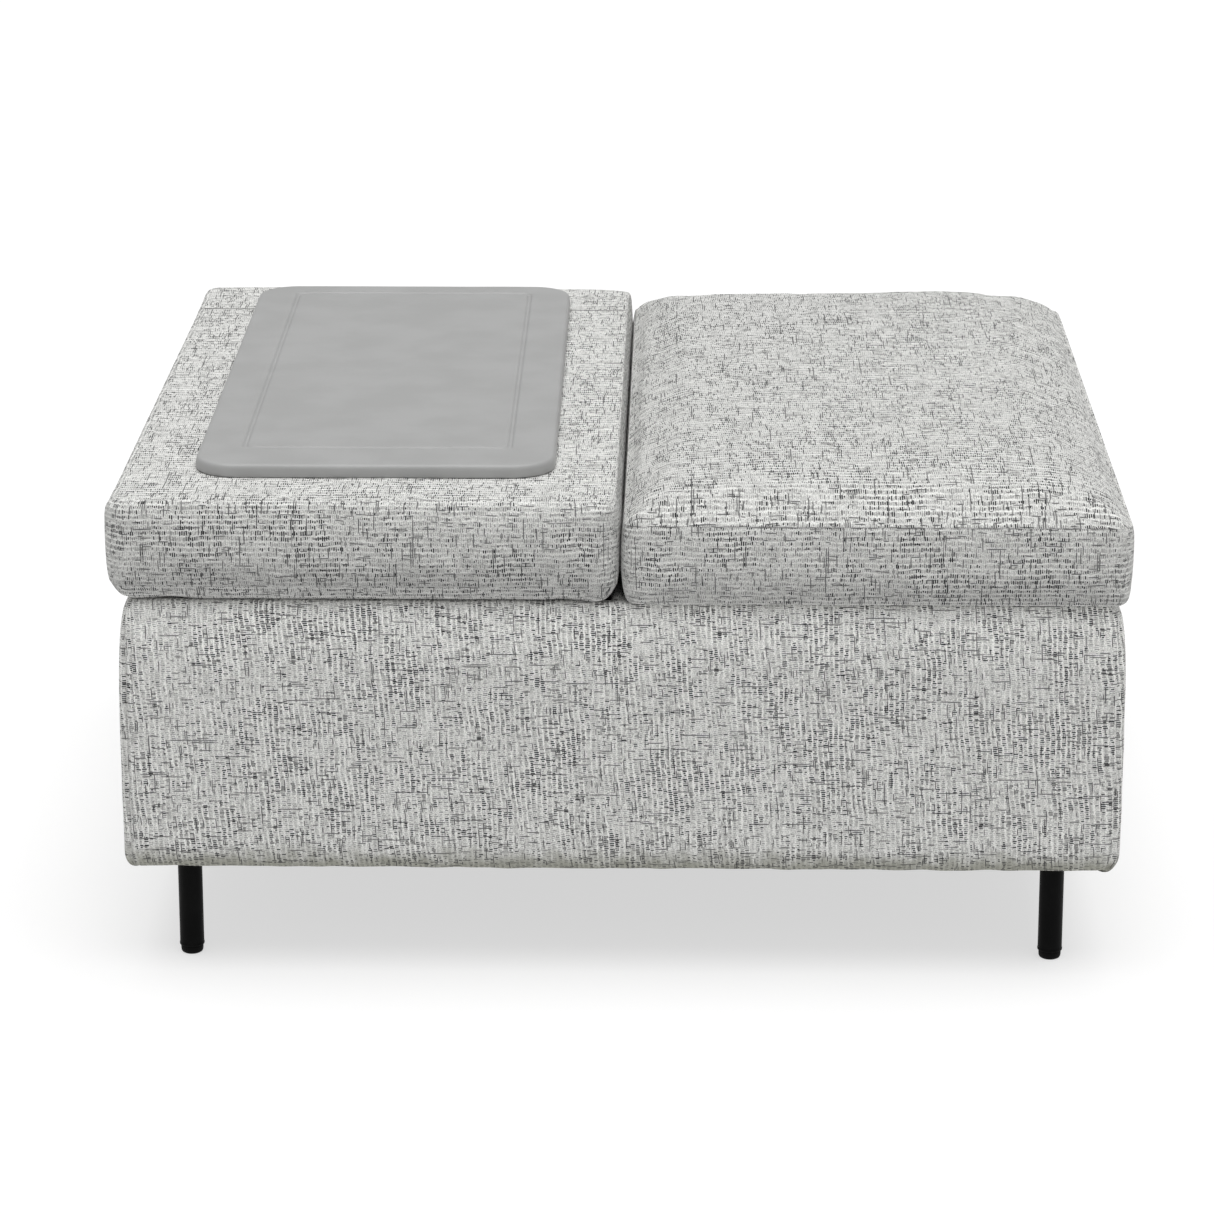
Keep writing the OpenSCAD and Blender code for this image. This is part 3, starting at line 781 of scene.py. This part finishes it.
# border: (inset, height) millimetres, from the board face up to its seam
# rise, reach: how high the crown's steep edge goes, and over what distance
# trim: how much narrower the border is on its outer side
# drop: the share of its height that the crown loses at its corners: by the joint, outer front, outer back
# squared: how square the seam is along the joint
# proud: how much higher the crown is towards its back
# The left lid lies crown down, and its weight presses that edge out over the rim.
LIDS = {
    "right": dict(
        border=(
            (17, 0), (13.6, 0.4), (10.6, 1.6), (8.0, 3.4), (6.0, 6.0), (4.6, 9.4), (3.5, 14), (2.6, 20),
            (1.8, 27), (1.1, 34), (0.6, 41), (0.3, 48), (0.3, 55), (0.6, 62), (1.1, 68.5), (1.8, 74),
            (2.6, 78), (3.4, 81), (4.2, 82.8), (5.2, 83.4), (6.4, 81.8),
        ),
        rise=0.0222, reach=0.0120, trim=0.0035, drop=(0.28, 0.28, 0.27), squared=0.6, proud=0.006,
    ),
    "left": dict(
        border=(
            (13, 0), (9.6, 0.5), (6.6, 1.9), (4.0, 4.1), (2.1, 7.0), (1.0, 10.4), (0.4, 15), (0.1, 21),
            (0, 28), (-0.1, 35), (-0.2, 42), (-0.2, 49), (0, 56), (0.3, 62.5), (0.7, 68), (1.2, 73),
            (1.9, 77.5), (2.4, 81), (3.1, 84), (3.9, 86.2), (4.9, 87.6),
        ),
        rise=0.0200, reach=0.0060, trim=0.0012, drop=(0.03, 0.02, 0.10), squared=0.85, proud=0.0,
    ),
}


def at_inset(x, y, d):
    """Puts grid points given over the whole lid onto the same lid inset by d, its corners rounded."""
    a, b = LID_A - d, LID_B - d
    return round_corners(x * a / LID_A, y * b / LID_B, a, b, max(LID_R - d, 0.004))


def pressed(x, y, d, up, squared):
    """The side at the joint is squarer than the others. up runs from 0 at the board face to 1 at the seam."""
    at_board = 0.35 + 0.4 * np.clip((y + LID_B) / 0.08, 0, 1)
    amount = at_board + (squared - at_board) * up
    return x - amount * d * np.clip(1 - (x + LID_A - d) / 0.05, 0, 1) ** 2


def spread(points, axis):
    """Distance over the surface from its middle line, along the rows or the columns of a grid."""
    steps = np.linalg.norm(np.diff(points, axis=axis), axis=-1)
    total = np.insert(np.cumsum(steps, axis=axis), 0, 0, axis=axis)
    return total - np.take(total, [total.shape[axis] // 2], axis=axis)


def crown_height(x, y, inset, rise, reach, drop, proud):
    """The crown over one place on the lid: a steep edge all round, then a long shallow swell."""
    dx, dy = np.maximum(LID_A - inset - np.abs(x), 0), np.maximum(LID_B - inset - np.abs(y), 0)
    r = max(LID_R - inset, 0.004)
    k = 0.9 * np.maximum(dx, dy) + 1e-9
    soft = np.minimum(dx, dy) - 0.25 * k * np.clip(1 - np.abs(dx - dy) / k, 0, 1) ** 2
    turn = np.maximum(r - np.hypot(r - dx, r - dy), 0)
    distance = np.where((dx < r) & (dy < r), np.minimum(turn, soft), soft)
    drop = np.where(x < 0, drop[0], np.where(y > 0, drop[2], drop[1]))
    corner = 1 - drop * np.exp(-dx / 0.036) * np.exp(-dy / 0.036)
    reach = reach * (1 - 0.55 * np.exp(-np.maximum(LID_A + x, 0) / 0.02))
    edge = (1 - np.exp(-distance / reach)) * corner
    sx, sy = np.clip(dx / 0.19, 0, 1), np.clip(dy / 0.19, 0, 1)
    middle = np.sin(sx * np.pi / 2) * np.sin(sy * np.pi / 2)
    back = proud * np.exp(-((x - 0.113) / 0.085) ** 2) * np.exp(-(LID_B - y) / 0.06)
    return (rise + back) * edge + (CROWN - rise) * middle * (1 + 0.2 * x / LID_A)


def lid_shell(name, border, rise, reach, trim, drop, squared, proud):
    """A lid cushion about its own centre, with its board face at z 0 and its crown up."""
    board_inset = border[0][0] * MM
    inset, seam_z = border[-1][0] * MM, border[-1][1] * MM
    xs = edge_spacing(LID_A)
    ys = edge_spacing(LID_B)
    # these rows land round the seam once the grid is drawn in to the board face's size
    fine = (JOIN_Y + np.array([-5, -2.4, -1.1, 0, 1.1, 2.4, 5]) * MM) * LID_B / (LID_B - board_inset)
    ys = np.sort(np.concatenate([ys[np.abs(ys - fine[3]) > 0.007], fine]))
    gx, gy = np.meshgrid(xs, ys)
    shell = Shell()

    x, y = at_inset(gx, gy, inset)
    z = seam_z + crown_height(x, y, inset, rise, reach, drop, proud)
    top = np.stack([pressed(x, y, inset, 1, squared), y, z], axis=-1)
    shell.patch(top, np.stack([0.65 * spread(top, 0) + 0.0417, spread(top, 1) + 0.0133], axis=-1))

    x, y = at_inset(gx, gy, board_inset)
    x = pressed(x, y, board_inset, 0, squared)
    under = np.stack([x, y, np.zeros_like(x)], axis=-1)
    shell.patch(under, np.stack([-0.65 * (y + LID_B), x + LID_A + 0.3 * (y > JOIN_Y)], axis=-1))

    walk = walk_round(xs, ys)
    around = run_length(walk)
    up = run_length(np.array(border) * MM)
    level = np.abs(walk[:, 1]) > LID_B - 1e-6
    from_end = np.where(level, LID_A - np.abs(walk[:, 0]), LID_B - np.abs(walk[:, 1]))
    rows, arounds = [], []
    for d, z in border:
        x, y = at_inset(walk[:, 0], walk[:, 1], d * MM)
        x = pressed(x, y, d * MM, min(z / seam_z * MM, 1), squared)
        moved = np.where(level, -np.sign(y) * (x - walk[:, 0]), np.sign(x) * (y - walk[:, 1]))
        arounds.append(around + moved * np.clip(from_end / 0.04, 0, 1))
        # the joint between the lids closes up half way down, mostly towards its two ends
        close = -0.0011 + 0.0024 * np.clip((np.abs(y + 0.04) - 0.29) / 0.12, 0, 1)
        close *= (x < -LID_A + 0.008) * np.clip((LID_B - np.abs(y)) / 0.05, 0, 1)
        x = x - close * np.sin(np.pi * z / 86)
        x = x - trim * np.sin(np.pi * z / 88) * np.clip((x - LID_A + 0.04) / 0.03, 0, 1)
        rows.append(np.column_stack([x, y, np.full(len(walk), z * MM)]))
    u = np.repeat(up[:, None], len(walk), axis=1)
    shell.patch(np.array(rows), np.stack([u, np.array(arounds)], axis=-1))
    return shell.build(name)


def swell(piece, weights):
    """A short cloth simulation: air pressure fills the cover between the places where it is held.

    weights gives how firmly each vertex is held. Only its movement straight out or in is kept.
    """
    rest = vertices(piece)
    group = piece.vertex_groups.new(name="held")
    for i, w in enumerate(weights(rest)):
        if w > 0:
            group.add([i], float(w), "REPLACE")
    modifier = piece.modifiers.new("cloth", "CLOTH")
    cloth = modifier.settings
    cloth.quality, cloth.mass = 5, 0.3
    cloth.tension_stiffness = cloth.compression_stiffness = 18
    cloth.shear_stiffness, cloth.bending_stiffness = 6, 0.6
    cloth.vertex_group_mass = "held"
    cloth.pin_stiffness = 2
    cloth.use_pressure, cloth.uniform_pressure_force = True, 4.0
    cloth.shrink_min = -0.004
    cloth.effector_weights.gravity = 0
    modifier.collision_settings.use_collision = False
    modifier.collision_settings.use_self_collision = False
    scene = bpy.context.scene
    modifier.point_cache.frame_start, modifier.point_cache.frame_end = 1, SWELL_FRAMES
    for number in range(1, SWELL_FRAMES + 1):
        scene.frame_set(number)
    result = piece.evaluated_get(bpy.context.evaluated_depsgraph_get()).data
    moved = np.zeros(rest.size)
    result.vertices.foreach_get("co", moved)
    normals = np.array([v.normal for v in piece.data.vertices])
    outward = np.sum((moved.reshape(-1, 3) - rest) * normals, axis=1, keepdims=True)
    moved = normals * np.clip(outward, -MOST_SWELL, MOST_SWELL)
    piece.modifiers.remove(modifier)
    piece.vertex_groups.remove(group)
    piece.data.vertices.foreach_set("co", (rest + moved).ravel())
    piece.data.update()
    scene.frame_set(1)


def near_corner(x, y, reach):
    """1 at the lid's corner (LID_A, LID_B), falling off over the reach."""
    return np.exp((x - LID_A) / reach) * np.exp((y - LID_B) / reach)


def settle(x, y, z, under, join):
    """What the cloth does once it is filled. under is 1 on the board face, and join is 1 along its seam."""
    hollows = 0.0004 * smooth_noise(x, y, 51, 0.12) * (np.abs(x) < LID_A - 0.02)
    z = z + under * (0.0016 * join - hollows)
    # the back corner by the joint is slack, and slumps where it is uppermost
    slack = near_corner(-x, y, 0.022) * np.clip(1 - z / 0.08, 0, 1)
    x, y, z = x - 0.005 * slack, y - 0.010 * slack, z + 0.005 * slack
    # and the crown's outer back corner is pulled in
    pulled = near_corner(x, y, 0.018) * np.clip((z - 0.08) / 0.01, 0, 1)
    return x - 0.014 * pulled, y - 0.020 * pulled, z - 0.006 * pulled


def make_lid(side, cloth):
    """One lid's cushion. The left one is turned over, crown down, as its tray is in use."""
    border = LIDS[side]["border"]
    inset, seam_z = border[-1][0] * MM, border[-1][1] * MM
    piece = lid_shell(side + "_lid_cushion", **LIDS[side])

    def held(rest):
        """The board face is held hard, the seam less so, and the rest is free."""
        x, y, z = rest.T
        board = np.where(z < 0.004, 1.0, 0.0)
        at_edge = (np.abs(x) > LID_A - inset - 0.003) | (np.abs(y) > LID_B - inset - 0.003)
        return np.maximum(board, 0.8 * np.exp(-(((z - seam_z) / 0.0025) ** 2)) * at_edge)

    x, y, z = vertices(piece).T
    # the board face has the seam that joins its two pieces of cloth
    under = z < 0.0045
    join = np.exp(-(((y - JOIN_Y) / 0.0022) ** 2)) * (np.abs(x) < LID_A - 0.004)
    sewn = sum(np.abs(z - height * MM) < 0.00005 for _, height in border[-3:])
    # the painted shade of the border's seam shows most along the front, and on the left lid it is turned
    # under
    sewn = sewn * (0.65 if side == "left" else 1) * np.where(np.abs(y) > LID_B - 0.012, 1, 0.4)
    # painted shade along the seams
    mark_seams(piece, np.maximum(under * join ** 0.35, sewn))
    swell(piece, held)
    x, y, z = settle(*vertices(piece).T, under, join)
    low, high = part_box(side + "_lid_base_cloth")
    centre = (low + high) / 2
    if side == "left":
        x, z, board_z = -x, -z, high.z
    else:
        board_z = low.z
    co = np.column_stack([x + centre.x, y + centre.y, z + board_z])
    piece.data.vertices.foreach_set("co", co.ravel())
    piece.data.update()
    subdivide(piece)
    parts = ["board", "foam", "top_cover", "border", "base_cloth"]
    finish_piece(piece, cloth, side + "_lid", [f"{side}_lid_{part}" for part in parts])


# ---------------------------------------------------------------- trays

TRAY_LINE = 0.047  # how far the pressed line lies in from the edge
TRAY_TURN = {"left": 0.006, "right": 0.0}  # radians: how far askew each tray sits


def make_tray(side, cloth):
    """A covered board: soft edges, and a shallow line pressed into its face."""
    low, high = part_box(side + "_tray_wrap")
    centre = (low + high) / 2
    a, b = (high.x - low.x) / 2, (high.y - low.y) / 2
    end = a / MM
    back = [(end, 0), (120, 0), (50, 0), (10, 0)]
    edge = [(3, 0), (1.2, 0.2), (0.1, 0.9), (-0.4, 2.0), (-0.4, 5), (0, 8.6), (0.5, 10.6), (1.3, 12.2)]
    edge += [(2.5, 13.3), (4.2, 13.9)]
    rim = [(7, 14.1), (12, 14.1), (20, 14.05), (30, 14), (38, 14.1), (41.5, 14.25), (43.4, 14.2)]
    line = [(44.3, 13.7), (45.1, 12.9), (45.9, 12.2), (47, 12), (48.1, 12.2), (48.9, 12.9), (49.7, 13.7)]
    middle = [(50.6, 14.1), (53, 14.15), (58, 14.05), (70, 14.1), (90, 14.15), (115, 14.2), (145, 14.2)]
    middle += [(170, 14.2), (end, 14.2)]
    section = back + edge + rim + line + middle
    insets = np.array([d for d, _ in section]) * MM
    fade = np.where(insets > TRAY_LINE, 0.06, 0.03)
    channel = np.clip(1 - np.maximum(np.abs(insets - TRAY_LINE) - 0.009, 0) / fade, 0, 1)[:, None]
    turn = TRAY_TURN[side]

    def place(points, around):
        z = points[..., 2]
        face = z > 0.011
        x, y = points[..., 0].copy(), points[..., 1].copy()
        # the pressed line lies further in along the front than along the back
        y += channel * face * (0.006 + 0.018 * np.clip(0.5 - y / (2 * b), 0, 1))
        points[..., 0] = x - turn * y + centre.x
        points[..., 1] = y + turn * x + centre.y
        z = z + face * 0.00012 * smooth_noise(x, y, 61, 0.08)
        points[..., 2] = z + low.z if side == "left" else high.z - z
        return points

    name = side + "_tray_covering"
    piece = ring_shell(name, a, b, 0.045, section, (40, 80, 16), place, closed=False, least=0.010)
    subdivide(piece)
    finish_piece(piece, cloth, side + "_lid", [side + "_tray_core", side + "_tray_wrap"])


# ---------------------------------------------------------------- the whole

def paint_frame(wood, metal):
    """The frame parts that are kept from the CAD model, all inside the upholstery."""
    for name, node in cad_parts.items():
        if node.hide_render:
            continue
        is_metal = any(word in name for word in ("screws", "studs", "nuts"))
        node.data.materials.clear()
        node.data.materials.append(metal if is_metal else wood)


make_camera()
make_studio()
# the flat and upright tones are painted light and shade: level faces lit, standing faces shaded
base_cloth = tweed("tweed_base", 0.945, 0.945, hem=0.112)
lid_cloth = {"left": tweed("tweed_left", 1.04, 0.815), "right": tweed("tweed_right", 0.97, 0.83)}
lining = nonwoven()
legs, feet = powder_coat(), black_plastic()
make_base_cover(base_cloth)
make_divider_cover(base_cloth)
for side in SIDES:
    make_lining(side, lining)
make_dust_cover(lining)
make_legs(legs, feet)
vinyl = leatherette()
for side in SIDES:
    make_lid(side, lid_cloth[side])
    make_tray(side, vinyl)
paint_frame(plywood(), zinc_plate())
